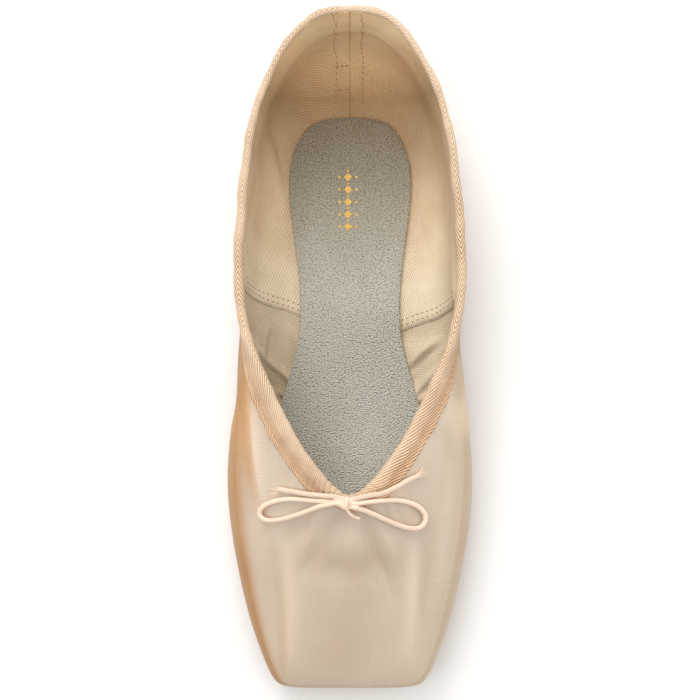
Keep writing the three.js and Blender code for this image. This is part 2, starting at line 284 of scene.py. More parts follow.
def rib_keys(row, side):
    """The nine places that a rib passes through, from the turned-in margin to the collar."""
    sx, sy, wx, wy, wz, turn, tx, ty, tz, cx, cy, cz = row
    sole, wide = np.array([side * sx, sy]), np.array([side * wx, wy])
    top, collar = np.array([side * tx, ty, tz]), np.array([side * cx, cy, cz])
    out = (wide - sole) / np.linalg.norm(wide - sole)
    half = math.sqrt(0.5)
    base = bottom_height(sy) + OUTSOLE_THICK + GAP
    margin = sole - out * LASTING_MARGIN
    crest = (top + collar) / 2 + np.array([0, 0, CROWN * np.linalg.norm(collar - top)])
    return [
        (*margin, bottom_height(margin[1]) + OUTSOLE_THICK + GAP),
        (*sole, base),
        (*(wide - out * turn), base),
        (*(wide - out * turn * (1 - half)), wz + (base - wz) * half),
        (*wide, wz),
        (*(wide + (top[:2] - wide) * (1 - half)), wz + (tz - wz) * half),
        top,
        crest,
        collar,
    ]


def closed_controls(points):
    """Control points of the closed smooth curve that passes through the points."""
    n = len(points)
    weights = (4 * np.eye(n) + np.roll(np.eye(n), 1, 0) + np.roll(np.eye(n), -1, 0)) / 6
    return np.linalg.solve(weights, np.asarray(points, float).reshape(n, -1))


def on_controls(controls, at):
    """Places on that curve, where at counts its points."""
    n = len(controls)
    at = np.asarray(at, float)
    i = np.floor(at).astype(int)
    f = (at - i)[:, None]
    weights = [(1 - f) ** 3, 3 * f**3 - 6 * f**2 + 4, -3 * f**3 + 3 * f**2 + 3 * f + 1, f**3]
    return sum(w * controls[(i + k - 1) % n] for k, w in enumerate(weights)) / 6


NET = [rib_keys(row, 1) for row in RIBS] + [rib_keys(row, -1) for row in RIBS[-2:0:-1]]
NET_CONTROLS = closed_controls(NET)


def last(around, up):
    """Places on the last, one row for each up. around is one row of places, or a row for each up."""
    rows = []
    for line, t in zip(np.broadcast_to(around, (len(up), np.shape(around)[-1])), up):
        keys = on_controls(NET_CONTROLS, line).reshape(len(line), 9, 3)
        first, end = 2 * keys[:, :1] - keys[:, 1:2], 2 * keys[:, -1:] - keys[:, -2:-1]
        keys = np.concatenate([first, keys, end], axis=1)
        k = min(int(t * 8), 7)
        f = t * 8 - k
        a, b, c, d = (keys[:, k + j] for j in range(4))
        ab, bc, cd = (np.sqrt(np.linalg.norm(q - p, axis=1))[:, None] for p, q in ((a, b), (b, c), (c, d)))
        m1 = ((b - a) / ab - (c - a) / (ab + bc) + (c - b) / bc) * bc
        m2 = ((c - b) / bc - (d - b) / (bc + cd) + (d - c) / cd) * bc
        rows.append(b + f * m1 + f**2 * (3 * (c - b) - 2 * m1 - m2) + f**3 * (2 * (b - c) + m1 + m2))
    return np.array(rows)


def outward(around, up):
    """The unit vectors that point out of the last at those places."""
    step, rise, up = 0.03, 0.002, np.asarray(up)
    across = last(around + step, up) - last(around - step, up)
    along = last(around, np.clip(up + rise, 0, 1)) - last(around, np.clip(up - rise, 0, 1))
    normal = np.cross(across, along)
    return normal / np.linalg.norm(normal, axis=-1, keepdims=True)


widest = last(np.arange(ROUND), [0.5])
print("ribs", len(NET), "last's length", round(float(np.ptp(widest[..., 1])), 1), "mm")

# %% [markdown]
# Cloth that is worn in or handled takes soft folds where it is gathered, pinched or pushed.
# Each fold is a line in space with a width and a height, and swells or sinks the wall around
# it. Every layer of the wall gets the same folds, so that none cuts through its neighbour.

# %% Folds of the wall
RIPPLE = 0.12  # the slack cloth's small unevenness
# from x, y, z | to x, y, z | width | height, below 0 for a trough; all in millimetres
FOLDS = [
    # the bow pulls the throat together, and troughs run down the vamp from it
    (-1.5, -50, 49, -18, -82, 38, 3.4, -0.8),
    (2, -50, 49, 16, -88, 37, 2.8, -0.95),
    (-12, -56, 46, -21, -72, 41, 2.4, 0.2),
    (10, -57, 46, 18, -76, 39, 2.4, 0.25),
    (-20, -74, 40, 20, -74, 40, 6, -0.9),
    (0.5, -56, 47, 1, -84, 39, 3.6, 0.2),
    (-12, -57, 45, -24, -66, 37, 3.5, -0.35),
    (13, -57, 45, 25, -67, 37, 3.5, -0.3),
    # long soft edges of the box under the vamp
    (-21.5, -60, 41, -20.5, -112, 27, 3.6, 0.5),
    (22.5, -60, 41, 20.5, -112, 27, 3.2, 0.75),
    (0, -74, 40, 0, -118, 27, 11, -0.55),
    (-28, -58, 37, -25, -96, 30, 4, -0.1),
    (29, -58, 37, 25.5, -96, 30, 4, -0.35),
    # the shoulders of the wings stand up as a long ridge beside the throat
    (-36, -6, 38, -30.5, -58, 37.5, 3.0, 0.85),
    (34.5, -8, 38, 35.5, -44, 35, 3.0, 0.45),
    # the wings of the box bulge behind the throat's corners, and the waist is pinched behind them
    (-38, -14, 33, -40, -34, 26, 6, 0.35),
    (38, -12, 33, 40, -32, 26, 6, 0.9),
    (-36, -2, 36, -39, -6, 20, 3.5, -0.6),
    (-38.5, -14, 30, -40.8, -19, 7, 6, -1.6),
    (36.5, 3, 36, 39, -1, 20, 3.5, -1.1),
    (-24.5, -28, 44, -21, -50, 43.5, 2.4, -0.3),
    (33, -24, 39, 37, -42, 34, 3.5, -0.4),
    # slack quarters
    (-38, 30, 38, -37, 44, 18, 6, 0.6),
    (38, 24, 40, 37, 33, 16, 5, -0.7),
    (-36, 60, 40, -33, 66, 14, 5, -0.7),
    (37, 56, 42, 33, 70, 16, 5, 0.5),
    (-28, 90, 44, -22, 92, 16, 4.5, -0.6),
    (27, 92, 46, 22, 94, 18, 4.5, -0.5),
    (-10, 112, 30, 10, 112, 28, 5, 0.6),
    (-14, 110, 44, 12, 112, 46, 4, -0.5),
]


def folds(places):
    """How far the folds lift the wall at these places."""
    lift = np.zeros(places.shape[:-1])
    for row in FOLDS:
        start, end, width, height = np.array(row[:3]), np.array(row[3:6]), row[6], row[7]
        line = end - start
        f = np.clip(((places - start) @ line) / (line @ line), 0, 1)
        away = np.linalg.norm(places - start - f[..., None] * line, axis=-1)
        lift += height * (1 - (2 * f - 1) ** 2) ** 1.5 * np.exp(-((away / width) ** 2))
    x, y, z = places[..., 0], places[..., 1], places[..., 2]
    slack = smooth(y, -20, 15) * smooth(z, 8, 20)
    ripple = np.sin(y / 3.9 + z / 7 + 1.1 * np.sign(x)) + 0.7 * np.sin(y / 2.6 - z / 5.1 + x / 9)
    return lift + RIPPLE * slack * ripple


AROUND_TABLE = np.linspace(0, ROUND, 2000)
EDGE_TABLE = last(AROUND_TABLE, [1.0])[0]
FAR_TABLE = lengths_along(EDGE_TABLE)
ROUND_LENGTH = float(FAR_TABLE[-1])  # of the collar's edge


def round_length(around):
    """How far round the collar each place is, in millimetres."""
    around = np.asarray(around, float)
    return np.interp(around % ROUND, AROUND_TABLE, FAR_TABLE) + ROUND_LENGTH * np.floor(around / ROUND)


def from_throat(far):
    """How far such a length is from the throat's middle, the shorter way round."""
    return np.minimum(far % ROUND_LENGTH, -far % ROUND_LENGTH)


def gathers(far):
    """The height of the gathers where the casing draws the satin in, largest by the throat."""
    size = 0.1 + 0.16 * (1 - smooth(from_throat(far), 10, 60))
    turns = math.tau * far / ROUND_LENGTH
    fine = np.sin(54 * turns + 1.5 * np.sin(7 * turns))
    return size * (fine + 0.7 * np.sin(29 * turns + 2 * np.sin(5 * turns)))


def eased(around, up):
    """Those gathers on the wall, fading out below the casing and at the cut edge."""
    far = round_length(np.broadcast_to(around, (len(up), np.shape(around)[-1])))
    return gathers(far) * (smooth(up, 0.84, 0.95) * (1 - smooth(up, 0.97, 1)))[:, None]


def wall(around, up, depth):
    """Places in the wall, depth millimetres in from its outer face."""
    base = last(around, up)
    deep = np.broadcast_to(np.asarray(depth, float), base.shape[:-1])
    return base + outward(around, up) * (folds(base) - deep)[..., None]


def wall_thickness(places, up):
    """The whole wall, thick in the box, thin in the quarters, thinnest under the casing."""
    y = places[..., 1]
    full = BOX_WALL + (QUARTER_WALL - BOX_WALL) * smooth(y, -38, 6)
    return full + (EDGE_WALL - full) * smooth(up, 0.8, 1)[:, None]


print("folds", len(FOLDS))

# %% [markdown]
# Cloth is a net of threads, so a grid is its natural start. The grid primitive is added with
# as many squares as the piece needs, and its points are laid where they belong. Its UV map is
# then measured along the cloth itself, in metres, so a weave keeps its true size everywhere.

# %% Cloth from a grid


def only(piece):
    """Selects this piece alone."""
    bpy.ops.object.select_all(action="DESELECT")
    piece.select_set(True)
    bpy.context.view_layer.objects.active = piece


def lay_cloth(name, places, ring=False, middle_row=0.5, zero_row=0):
    """A grid laid on an array of places in millimetres; in a ring its ends are sewn together.

    u is measured along the row at the share middle_row, and v is 0 on the row zero_row."""
    rows, columns = places.shape[:2]
    bpy.ops.object.select_all(action="DESELECT")
    bpy.ops.mesh.primitive_grid_add(x_subdivisions=columns - 1, y_subdivisions=rows - 1, size=2)
    piece = bpy.context.object
    piece.name = piece.data.name = name
    mesh = piece.data
    flat = np.empty(len(mesh.vertices) * 3)
    mesh.vertices.foreach_get("co", flat)
    flat = flat.reshape(-1, 3)
    column = np.rint((flat[:, 0] + 1) / 2 * (columns - 1)).astype(int)
    row = np.rint((flat[:, 1] + 1) / 2 * (rows - 1)).astype(int)
    mesh.vertices.foreach_set("co", (places[row, column] * MM).ravel())
    level = places[int(middle_row * (rows - 1))]
    across = lengths_along(level)
    steps = np.linalg.norm(np.diff(places, axis=0), axis=2)
    along = np.vstack([np.zeros(columns), np.cumsum(steps, axis=0)])
    along -= along[zero_row]
    corner = np.empty(len(mesh.loops), int)
    mesh.loops.foreach_get("vertex_index", corner)
    uv = np.stack([across[column[corner]], along[row[corner], column[corner]]], axis=1) * MM
    mesh.uv_layers[0].data.foreach_set("uv", uv.ravel())
    mesh.update()
    if ring:
        only(piece)
        bpy.ops.object.mode_set(mode="EDIT")
        bpy.ops.mesh.select_all(action="SELECT")
        bpy.ops.mesh.remove_doubles(threshold=1e-6)
        bpy.ops.object.mode_set(mode="OBJECT")
    bpy.ops.object.shade_smooth()
    return piece


def joined(name, pieces):
    """Joins pieces into one, under a new name."""
    bpy.ops.object.select_all(action="DESELECT")
    for piece in pieces:
        piece.select_set(True)
    bpy.context.view_layer.objects.active = pieces[0]
    bpy.ops.object.join()
    pieces[0].name = pieces[0].data.name = name
    return pieces[0]


def give_thickness(piece, thickness):
    """A Solidify modifier, applied: the cloth grows inwards by this many millimetres."""
    only(piece)
    solid = piece.modifiers.new("thickness", "SOLIDIFY")
    solid.thickness = thickness * MM
    solid.offset = -1
    solid.use_even_offset = False
    bpy.ops.object.modifier_apply(modifier=solid.name)


def finished(piece, material, *nodes, slot=None):
    """Gives the piece its material, ties it to the solids, and says how many faces it has."""
    piece.data.materials.clear()
    piece.data.materials.append(material)
    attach(piece, "root")
    if nodes:
        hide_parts(*nodes)
    print(piece.name, len(piece.data.polygons), "faces")


# %% [markdown]
# Satin is woven so that long threads float over the cloth, which gives it a soft, broad gloss.
# The base is a peach dye with painted light on it: paler on top, in front and on the right,
# where the light falls, and peach as painted shade on the other sides. The ridges of the folds
# get a painted highlight and their troughs a painted shade, which an attribute of the mesh
# tells the material, and the floats stretch the gloss into faint streaks. The gloss fades where
# the cloth is seen edge on. Real satin threads are about 0.15 mm apart, too fine for this
# picture, so the slanting ribs are drawn 0.7 mm apart.

# %% Woven satin
SATIN_RIB = 0.7 * MM
SATIN_SLANT = 38
SATIN_FLOAT = 1.1 * MM  # across a streak of floats
# The way the painted light comes from: faces turned to it get the pale, lit tone of the satin.
PAINTED_LIGHT_FROM = (0.52, -0.3, 0.8)
# Painted shade in the folds' troughs and a painted highlight on their ridges.
FOLD_PAINTED_SHADE_AND_HIGHLIGHT = ((0, "#d6d1cb"), (0.57, "#e7e6e4"), (1, "#ffffff"))  # from troughs to ridges

satin, shader = new_material("peach_satin_woven")
cloth = node(satin, "ShaderNodeUVMap", settings={"uv_map": "UVMap"}).outputs["UV"]
place = node(satin, "ShaderNodeTexCoord").outputs["Object"]
clouds = node(satin, "ShaderNodeTexNoise", {"Vector": place}, Scale=26, Detail=3, Roughness=0.55)
cloud = clouds.outputs["Fac"]
normal = node(satin, "ShaderNodeNewGeometry").outputs["Normal"]
facing_painted_light = node(satin, "ShaderNodeVectorMath", {0: normal}, {"operation": "DOT_PRODUCT"})
facing_painted_light.inputs[1].default_value = PAINTED_LIGHT_FROM
painted_light_share = node(
    satin, "ShaderNodeMapRange", {"Value": facing_painted_light.outputs["Value"]}, {"interpolation_type": "SMOOTHSTEP"},
    From_Min=0.12, From_Max=0.58,
)
# Painted light: the pale ramp is the lit copy of the dye and the peach ramp its shaded copy, mixed by how far
# a face turns to the light.
peach = node(satin, "ShaderNodeValToRGB", {"Fac": cloud}, stops=((0.35, "#c39566"), (0.68, "#cea274")))
pale = node(satin, "ShaderNodeValToRGB", {"Fac": cloud}, stops=((0.35, "#d4bda3"), (0.68, "#decab1")))
dyed = node(
    satin, "ShaderNodeMix",
    {0: painted_light_share.outputs["Result"], 6: peach.outputs["Color"], 7: pale.outputs["Color"]},
    {"data_type": "RGBA"},
)
# The folds' lift, read from the mesh, places the painted shade and the painted highlight.
lift = node(satin, "ShaderNodeAttribute", settings={"attribute_name": "fold_lift"}).outputs["Fac"]
painted_fold_light = node(satin, "ShaderNodeMapRange", {"Value": lift}, From_Min=-0.8, From_Max=0.6).outputs["Result"]

turned = node(satin, "ShaderNodeMapping", {"Vector": cloth}, Rotation=(0, 0, math.radians(SATIN_SLANT)))
ribs = node(
    satin, "ShaderNodeTexWave", {"Vector": turned.outputs["Vector"]}, {"bands_direction": "X"},
    Scale=band(SATIN_RIB), Distortion=0.6, Detail=2,
).outputs["Fac"]
drawn = node(satin, "ShaderNodeMapping", {"Vector": cloth}, Scale=(1, 0.06, 1))
floats = node(
    satin, "ShaderNodeTexNoise", {"Vector": drawn.outputs["Vector"]},
    Scale=1 / SATIN_FLOAT, Detail=3, Roughness=0.6,
).outputs["Fac"]
tone = dyed.outputs[2]
for amount, stops in (
    (painted_fold_light, FOLD_PAINTED_SHADE_AND_HIGHLIGHT),
    (ribs, ((0.1, "#f6f4f1"), (0.9, "#ffffff"))),
    (floats, ((0.3, "#f8f6f4"), (0.7, "#ffffff"))),
):
    shade = node(satin, "ShaderNodeValToRGB", {"Fac": amount}, stops=stops).outputs["Color"]
    tone = node(satin, "ShaderNodeMix", {6: tone, 7: shade}, MULTIPLY, Factor=1.0).outputs[2]
weave = node(satin, "ShaderNodeBump", {"Height": ribs}, Strength=0.5, Distance=0.08 * MM)
rough = node(satin, "ShaderNodeMapRange", {"Value": floats}, To_Min=0.34, To_Max=0.39)
edge_on = node(satin, "ShaderNodeLayerWeight", Blend=0.5).outputs["Facing"]
gloss = node(
    satin, "ShaderNodeMapRange", {"Value": edge_on}, From_Min=0.18, From_Max=0.52, To_Min=1.0, To_Max=0.02
)
fill(
    satin, shader,
    {
        "Base Color": tone, "Normal": weave.outputs["Normal"], "Roughness": rough.outputs["Result"],
        "Specular IOR Level": gloss.outputs["Result"],
    },
    IOR=1.85, Sheen_Weight=0.02, Sheen_Roughness=0.4, Sheen_Tint=linear("#fff0df"),
)
print("satin nodes", len(satin.node_tree.nodes))

# %% [markdown]
# The satin is cut in one vamp and two quarters, pulled down over the last, and pleated under
# the toe and heel where it has to turn in. The columns stand closer at the seams, so that a
# seam can be a crisp furrow and the open cloth needs no more faces than it shows.

# %% Satin upper
BACK_SEAM = float(HEEL)
SIDE_SEAM = 12.4
SATIN_THICK = 0.45
SEAM_DEPTH = 0.35
PLEAT_PITCH = 0.46  # ribs
SATIN_ROWS = [6, 8, 8, 8, 12, 10, 22, 22]  # steps in each stretch of a rib


def columns_of(low, high, per_rib, fine=()):
    """Places round the shoe, closer together at the fine ones."""
    even = np.linspace(low, high, round((high - low) * per_rib) + 1)
    near = [-0.09, -0.06, -0.04, -0.025, -0.012, 0, 0.012, 0.025, 0.04, 0.06, 0.09]
    extra = np.array([seam + n for seam in fine for n in near])
    extra = extra[(extra > low) & (extra < high)]
    kept = [e for e in even if np.abs(extra - e).min(initial=1) > 0.02]
    return np.unique([low, *kept, *extra, high])


def rows_of(steps_per_key):
    """Places up a rib, with so many steps in each of its eight stretches."""
    made = [(k + s / n) / 8 for k, n in enumerate(steps_per_key) for s in range(n)]
    return np.array(made + [1.0])


def pleats(around, up):
    """Pleats under toe and heel, sharp on one side, and deepest at the sole's edge."""
    turn = np.where(around > HEEL, around - ROUND, around)  # the toe's centre at 0
    reach = smooth(up, 0.06, 0.13) * (1 - smooth(up, 0.2, 0.42))
    toe = (1 - smooth(np.abs(turn), 3.6, 5.4)) * 0.55
    heel = (1 - smooth(np.abs(np.abs(turn) - HEEL), 1.8, 3.2)) * 0.4
    phase = (turn / PLEAT_PITCH) % 1
    saw = np.where(phase < 0.72, phase / 0.72, (1 - phase) / 0.28)
    return reach[:, None] * ((toe + heel) * (saw - 0.5))[None, :]


def furrow(around, seam, width):
    """1 on the seam, falling to 0 at width ribs from it."""
    away = np.abs(((around - seam) + ROUND / 2) % ROUND - ROUND / 2)
    return np.exp(-((away / width) ** 2))


SEAMS = (BACK_SEAM, SIDE_SEAM, ROUND - SIDE_SEAM)
around, up = columns_of(0, ROUND, 10, SEAMS), rows_of(SATIN_ROWS)
seams = sum(furrow(around, seam, 0.018) for seam in SEAMS)
depth = SEAM_DEPTH * seams[None, :] - pleats(around, up) - eased(around, up)
depth = depth * (1 - smooth(up, 0.97, 1))[:, None]
satin_upper = lay_cloth("satin_upper", wall(around, up, depth), ring=True)
give_thickness(satin_upper, SATIN_THICK)
flat = np.empty(len(satin_upper.data.vertices) * 3)
satin_upper.data.vertices.foreach_get("co", flat)
fold_lift = satin_upper.data.attributes.new("fold_lift", "FLOAT", "POINT")
fold_lift.data.foreach_set("value", folds(flat.reshape(-1, 3) / MM))
finished(satin_upper, satin, "upper", slot="satin")

# %% [markdown]
# Twill and canvas are matt. Twill shows slanting ribs, because each weft thread steps one warp
# further than the last. Canvas is a plain weave of square bumps. One function makes both, from
# the colours, the spacing of the ribs and their slant. Herringbone is twill whose slant turns
# back at its middle, which is the tape's fold here, so its slant mirrors where v is 0, and the
# fold gets a painted highlight, paler than the rest of the tape. Real ribs are about 0.4 mm
# apart, and these are drawn 0.8 mm apart, so that a picture of the whole shoe shows them.

# %% Woven lining materials
CASING_OUTSIDE = 7.5  # how far down the outer face the tape reaches, in millimetres
# Painted highlight along the tape's fold, darker towards its outer edge.
FOLD_PAINTED_HIGHLIGHT = ((0.3, "#ffffff"), (0.9, "#f8ece1"))


def woven(name, dark, light, rib, slant, relief, fibre, crossed=False, turned_back=False, worn=()):
    """Twill, or canvas where crossed. turned_back mirrors it at v = 0 and paints a highlight on the fold; worn
    gives along_shoe's stops of wear and painted shade.
    """
    made, shader = new_material(name)
    uv = node(made, "ShaderNodeUVMap", settings={"uv_map": "UVMap"}).outputs["UV"]
    place = node(made, "ShaderNodeTexCoord").outputs["Object"]
    shades = []
    if turned_back:
        parts = node(made, "ShaderNodeSeparateXYZ", {"Vector": uv}).outputs
        folded = node(made, "ShaderNodeMath", {0: parts["Y"]}, {"operation": "ABSOLUTE"}).outputs[0]
        uv = node(made, "ShaderNodeCombineXYZ", {"X": parts["X"], "Y": folded}).outputs["Vector"]
        # A painted highlight on the tape's fold, fading to a darker tone towards its outer edge.
        from_fold = node(made, "ShaderNodeMapRange", {"Value": folded}, From_Max=CASING_OUTSIDE * MM)
        rubbed = node(made, "ShaderNodeValToRGB", {"Fac": from_fold.outputs["Result"]}, stops=FOLD_PAINTED_HIGHLIGHT)
        shades.append(rubbed.outputs["Color"])
    ways = []
    for angle in (slant, slant + 90) if crossed else (slant,):
        turned = node(made, "ShaderNodeMapping", {"Vector": uv}, Rotation=(0, 0, math.radians(angle)))
        wave = node(
            made, "ShaderNodeTexWave", {"Vector": turned.outputs["Vector"]}, {"bands_direction": "X"},
            Scale=band(rib), Distortion=0.8, Detail=2,
        )
        ways.append(wave.outputs["Fac"])
    threads = ways[0]
    if crossed:
        threads = node(made, "ShaderNodeMath", {0: ways[0], 1: ways[1]}, {"operation": "MULTIPLY"}).outputs[0]
    clouds = node(made, "ShaderNodeTexNoise", {"Vector": place}, Scale=40, Detail=5, Roughness=0.6)
    mixed = node(made, "ShaderNodeMath", {0: threads, 2: clouds.outputs["Fac"]}, {"operation": "MULTIPLY_ADD"})
    mixed.inputs[1].default_value = fibre
    dyed = node(made, "ShaderNodeValToRGB", {"Fac": mixed.outputs[0]}, stops=((0.38, dark), (0.92, light)))
    tone = dyed.outputs["Color"]
    # Along the shoe, wear and painted shade multiply into the dye.
    if worn:
        shades.append(along_shoe(made, place, worn))
    for shade in shades:
        tone = node(made, "ShaderNodeMix", {6: tone, 7: shade}, MULTIPLY, Factor=1.0).outputs[2]
    bump = node(made, "ShaderNodeBump", {"Height": threads}, Strength=0.8, Distance=relief * MM)
    links = {"Base Color": tone, "Normal": bump.outputs["Normal"]}
    fill(made, shader, links, Roughness=0.86, Specular_IOR_Level=0.25, Sheen_Weight=0.06)
    return made


# Tones along the heel's twill, y 20 to 118 mm: partly wear, partly painted shade and light, darkest round y
# 90, palest just below the collar.
HEEL_WEAR_AND_PAINTED_SHADE = (
    (20, "#eeeeee"), (54, "#eee4da"), (90, "#c2ad93"), (102, "#f4dfc6"), (110, "#fff5e0"), (118, "#f2d6b8"),
)
heel_twill = woven("tan_lining_twill_woven", "#d8c1a0", "#fff2d9", 0.85 * MM, -62, 0.2, 0.4, worn=HEEL_WEAR_AND_PAINTED_SHADE)
front_canvas = woven("cream_canvas_woven", "#bdab8f", "#e4d5bd", 0.8 * MM, 8, 0.2, 0.3, crossed=True)
tape_twill = woven(
    "peach_tape_herringbone_woven", "#a88160", "#e6cdb1", 0.85 * MM, 63, 0.3, 0.66, turned_back=True
)
print("woven materials", len(bpy.data.materials))

# %% [markdown]
# Inside, the front is lined with cream canvas, and the heel with softer twill that overlaps it
# with a turned edge at the waist. A lining is laid as the satin was, but its places run the
# other way round, so that its face looks into the shoe. The twill stands a little proud of
# the canvas, and a flat band covers its seam at the centre back.

# %% Linings
OVERLAP_RIGHT = (11.35, 11.88)  # ribs, at the floor and at the collar
OVERLAP_LEFT = (ROUND - 11.65, ROUND - 12.14)
PROUD = 0.45
BACK_BAND = 4.5  # half its width
LINING_THICK = 0.3
# soft creases: middle x, y | direction across | width | height into the shoe
TWILL_CREASES = [
    (-28, 68, 0.94, 0.34, 2.6, 1.4),
    (-23.5, 66, 0.94, 0.34, 2.6, -1.2),
    (27, 74, 0.96, -0.28, 3.2, 0.5),
    (31, 40, 0.99, 0.1, 4, 0.4),
    (-32, 38, 0.99, -0.1, 3.5, -0.4),
    (-9, 96, 0.9, 0.4, 2.2, 0.4),
    (12, 98, 0.9, -0.3, 2.2, 0.35),
    (-4, 103, 0.5, 0.87, 1.6, 0.35),
]
CANVAS_CREASES = [
    (-30.5, 8, 0.97, -0.22, 1.8, 1.8),
    (-27.5, 7, 0.97, -0.22, 1.5, -1.2),
    (-25, -6, 0.6, 0.8, 1.4, 1.7),
    (-28, -12, 0.7, 0.71, 1.3, -1.2),
    (-23, -15, 0.4, 0.92, 1.3, 1.3),
    (30, 5, 0.75, -0.66, 1.6, 1.7),
    (26, -2, 0.6, -0.8, 1.4, -1.2),
    (27, -10, 0.7, -0.71, 1.5, 1.5),
    (23, -17, 0.4, -0.92, 1.3, 1.2),
]
CREASE_REACH = 15  # how far a crease runs each way
LINING_ROWS = [7, 12, 12, 9, 10, 9, 14, 14]


def creases(base, table):
    """How far the creases push a lining into the shoe."""
    made = np.zeros(base.shape[:-1])
    for x, y, c, s, width, height in table:
        across = (base[..., 0] - x) * c + (base[..., 1] - y) * s
        along = (base[..., 1] - y) * c - (base[..., 0] - x) * s
        made += height * np.exp(-((across / width) ** 2) - (along / CREASE_REACH) ** 2)
    return made


def slanted(columns, low, high, up):
    """A row of places for each height: columns run from 0 at the low edge to 1 at the high edge."""
    rise = smooth(up, 0.12, 0.62)
    lows = low[0] + (low[1] - low[0]) * rise
    highs = high[0] + (high[1] - high[0]) * rise
    return lows[:, None] + (highs - lows)[:, None] * columns[None, :]


def dents(places, size, height):
    """Small soft dents, the same at each run."""
    x, y, z = (places[..., k] / size for k in range(3))
    one = np.sin(1.7 * x + 0.6 * y) * np.sin(1.3 * y + 0.9 * z + 0.4)
    two = np.sin(2.9 * x - 1.1 * z + 2) * np.sin(2.3 * y + 1.9 * x)
    return height * (one + 0.6 * two)


up = rows_of(LINING_ROWS)
creased_ribs = np.linspace(9.2, 11.8, 80)
plain_ribs = np.linspace(-9.1, 9.1, 183)
around = np.unique([*-creased_ribs, *creased_ribs, *plain_ribs, -13, -12.6, -12.2, 12.2, 12.6, 13])
base, beside = last(around, up), np.abs(around)
sunk = 0.3 * smooth(beside, 11, 11.25)[None, :]
covered = np.where(around < 0, 11.6, 11.3)  # where the twill begins to cover it
slack_up = smooth(up, 0.09, 0.18) * (1 - smooth(up, 0.84, 0.94))
slack_round = smooth(beside, 7.5, 9.5) * (1 - smooth(beside, covered - 0.35, covered))
slack = slack_up[:, None] * slack_round[None, :]
loose = dents(base, 5, 0.25) + creases(base, CANVAS_CREASES) + 0.5
depth = wall_thickness(base, up) - sunk + dents(base, 4.5, 0.08) + loose * slack
canvas_lining = lay_cloth("canvas_lining", wall(around, up, depth)[:, ::-1])
give_thickness(canvas_lining, LINING_THICK)
finished(canvas_lining, front_canvas, slot="twill")

span = OVERLAP_LEFT[1] - OVERLAP_RIGHT[1]
band_ribs = [HEEL - 0.36, HEEL, HEEL + 0.36]
columns = (columns_of(OVERLAP_RIGHT[1], OVERLAP_LEFT[1], 10, band_ribs) - OVERLAP_RIGHT[1]) / span
around = slanted(columns, OVERLAP_RIGHT, OVERLAP_LEFT, up)
base = last(around, up)
edge = np.minimum(columns, 1 - columns) * span
raised = PROUD * (0.25 + 0.75 * smooth(up, 0.22, 0.4))
proud = raised[:, None] * (0.55 + 0.45 * smooth(edge, 0, 0.05))[None, :]
on_band = 1 - smooth(np.abs(base[..., 0]), BACK_BAND - 0.25, BACK_BAND + 0.25)
flat_band = 0.3 * on_band * smooth(base[..., 1], 70, 85)
groove = 0.55 * furrow(around, BACK_SEAM, 0.02)
creased = creases(base, TWILL_CREASES) * smooth(up, 0.12, 0.3)[:, None]
depth = wall_thickness(base, up) + proud + flat_band - groove + dents(base, 6, 0.12) + creased
twill_places = wall(around, up, depth)
twill_lining = lay_cloth("twill_lining", twill_places[:, ::-1])
give_thickness(twill_lining, LINING_THICK)
finished(twill_lining, heel_twill, slot="twill")

# %% [markdown]
# The casing is a tape folded over the cut edge, stitched near its outer edge, with the
# drawstring in its fold. Its section goes up the outer leg, over the edge and in under the
# lining. The tape bulges over the cord and lies flat at the stitches, and the drawn cord
# gathers it in small puckers near the throat.

# %% Casing
CASING_DRAWN = 3.3  # how much narrower the bow draws it at the throat's middle
CASING_INSIDE = 1.6  # the heel's and the front's linings cover the rest
TAPE_THICK = 0.4
STITCH_INSET = 1.7  # from the tape's outer edge
TAPE_FLAT = 0.42  # its height off the wall at the stitches
TAPE_BULGE = 1.2  # over the cord
PUCKER_PITCH = 2.3
EDGE_ROWS = np.linspace(0.7, 1, 70)


def casing_reach(far):
    """How far down the outer face the tape reaches, at this length round the collar."""
    return CASING_OUTSIDE - CASING_DRAWN * (1 - smooth(from_throat(far), 3, 17))


def beside_edge(around, below, off):
    """Places at a distance below the collar's edge, down the outer face, and off out of it."""
    base = last(around, EDGE_ROWS)
    normal = outward(around, EDGE_ROWS)
    base = base + normal * folds(base)[..., None]
    steps = np.linalg.norm(np.diff(base[::-1], axis=0), axis=2)
    far = np.vstack([np.zeros(len(around)), np.cumsum(steps, axis=0)])[::-1]
    below, off = (np.broadcast_to(v, (len(below), len(around))) for v in (below, off))
    made = np.empty((len(below), len(around), 3))
    for i in range(len(around)):
        for k in range(3):
            point = np.interp(below[:, i], far[::-1, i], base[::-1, i, k])
            out = np.interp(below[:, i], far[::-1, i], normal[::-1, i, k])
            made[:, i, k] = point + out * off[:, i]
    return made


around = columns_of(0, ROUND, 16)
length = round_length(around)
length[-1] = ROUND_LENGTH
gathered = 1 - smooth(from_throat(length), 5, 24)
turns = math.tau * length / ROUND_LENGTH
pucker = np.sin(round(ROUND_LENGTH / PUCKER_PITCH) * turns) * (0.12 + 0.88 * gathered)
waver = np.sin(9 * turns) + 0.6 * np.sin(31 * turns + 1)
sway = 0.1 * np.sin(23 * turns + 1.3) + 0.07 * np.sin(57 * turns)

